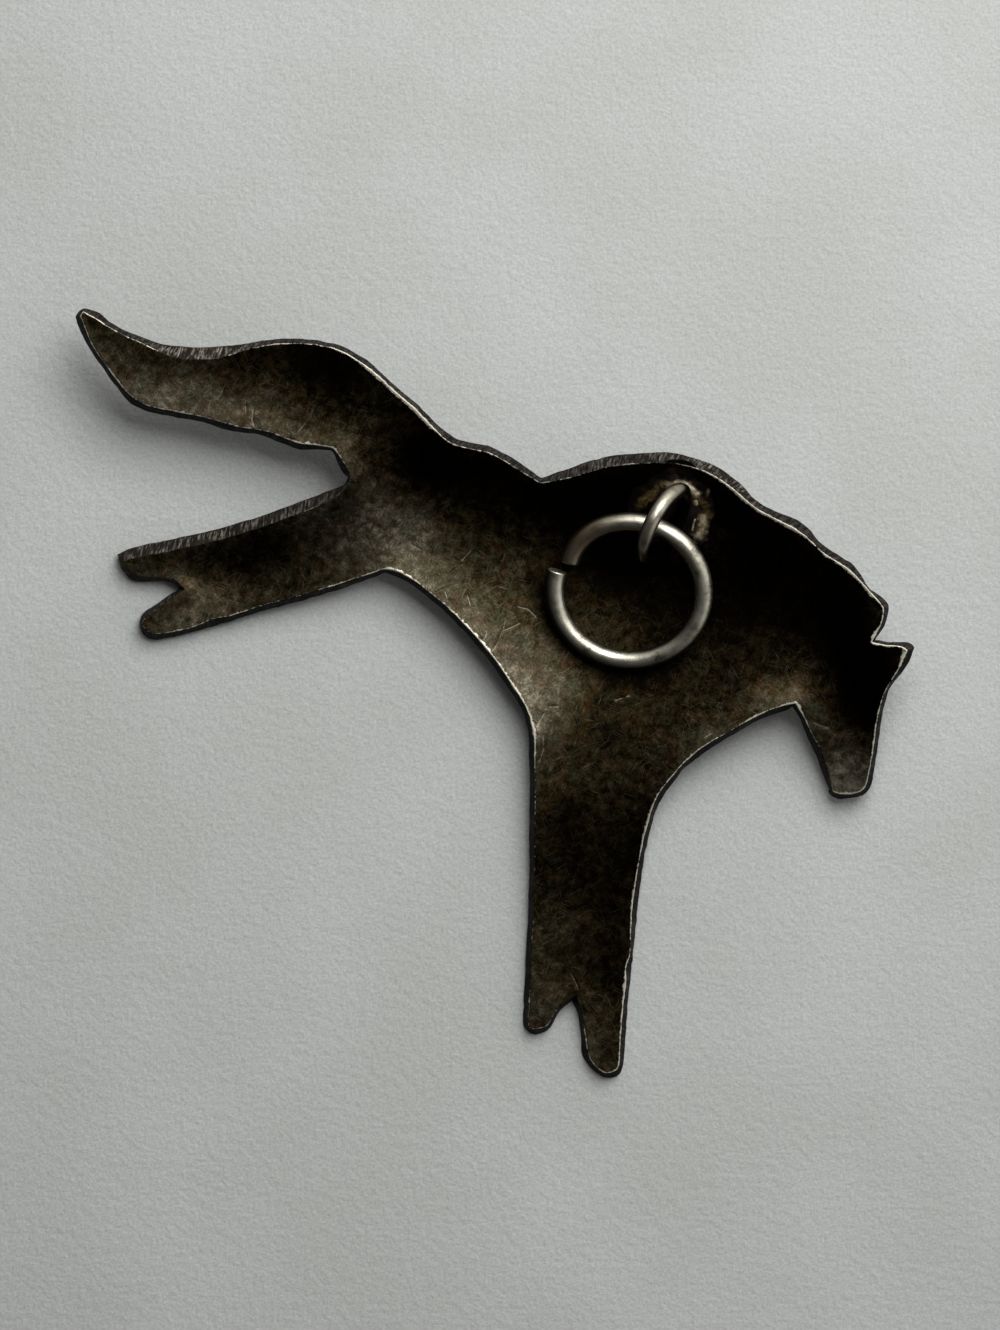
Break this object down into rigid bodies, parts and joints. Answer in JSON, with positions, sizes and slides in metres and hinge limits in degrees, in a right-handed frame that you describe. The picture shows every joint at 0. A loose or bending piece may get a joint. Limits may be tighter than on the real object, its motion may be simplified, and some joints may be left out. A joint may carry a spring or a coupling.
{
  "type": "horse charm",
  "caption": "Bucking-horse pendant of dark hammered silver sheet, hollow at the back, with a wire bail soldered in the hollow and an open jump ring hanging in it.",
  "frame": {"origin": "middle of the overall box in plan, at the level of the table that the domed front lies on", "axes": "+X from the tail towards the head, +Y from the forelegs up past the back, +Z out of the hollow back, away from the table"},
  "size_m": [0.044, 0.0406, 0.0067],
  "materials": {
    "blackened_silver": "brown-black patina in the hollow, worn bright on the rim",
    "bail_silver": "satin silver wire, dark near the solder",
    "solder_crust": "rough tan crust of solder and flux",
    "ring_silver": "satin silver wire"
  },
  "bodies": {
    "horse": {"horse_sheet": "blackened_silver", "bail_loop": "bail_silver", "bail_solder": "solder_crust"},
    "ring": {"jump_ring": "ring_silver"}
  },
  "joints": [
    {"name": "ring_swing", "type": "hinge", "parent": "horse", "child": "ring", "pos_m": [0.00902, 0.00845, 0.00341], "axis": [-0.8701, 0.4928, 0], "range_deg": [0, 165]}
  ]
}
